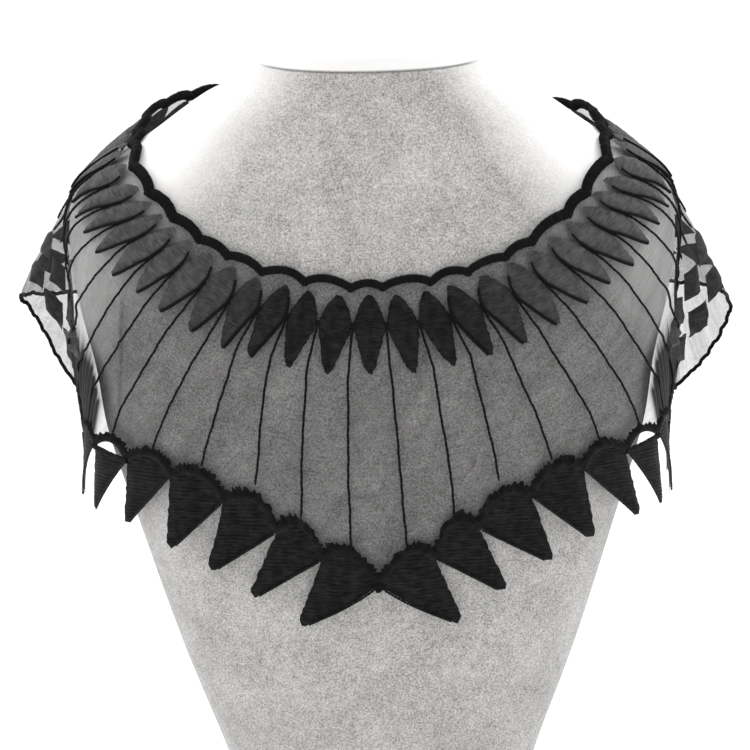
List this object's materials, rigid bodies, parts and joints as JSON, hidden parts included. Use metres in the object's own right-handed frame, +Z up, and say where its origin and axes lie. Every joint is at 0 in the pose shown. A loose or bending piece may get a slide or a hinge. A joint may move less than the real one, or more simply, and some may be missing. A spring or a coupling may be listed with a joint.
{
  "type": "lace collar on a display bust",
  "caption": "Sheer black organza cape collar with embroidered leaves, scalloped neck cord and pointed pennant hem, laid over a limbless display bust.",
  "frame": {"origin": "middle of the whole part's box at the surface that the bust stands on", "axes": "+Z up the bust, -Y out of its chest, +X to the viewer's right"},
  "size_m": [0.3346, 0.1548, 0.374],
  "materials": {
    "velvet": "matt off-white flocked velvet",
    "organza": "sheer plain-weave organza",
    "cord": "satin-stitched cord",
    "embroidery": "dense satin-stitch embroidery"
  },
  "bodies": {
    "root": {"display_bust": "velvet", "organza_front": "organza", "organza_back": "organza", "neck_cord": "cord", "edge_cord": "cord", "leaf_band": "embroidery", "rhombus_border": "embroidery", "hem_arches": "embroidery", "pennant_left_1": "embroidery", "pennant_left_2": "embroidery", "pennant_left_3": "embroidery", "pennant_left_4": "embroidery", "pennant_left_5": "embroidery", "pennant_left_6": "embroidery", "pennant_left_7": "embroidery", "pennant_left_8": "embroidery", "pennant_left_9": "embroidery", "pennant_right_1": "embroidery", "pennant_right_2": "embroidery", "pennant_right_3": "embroidery", "pennant_right_4": "embroidery", "pennant_right_5": "embroidery", "pennant_right_6": "embroidery", "pennant_right_7": "embroidery", "pennant_right_8": "embroidery", "pennant_right_9": "embroidery"}
  },
  "joints": []
}
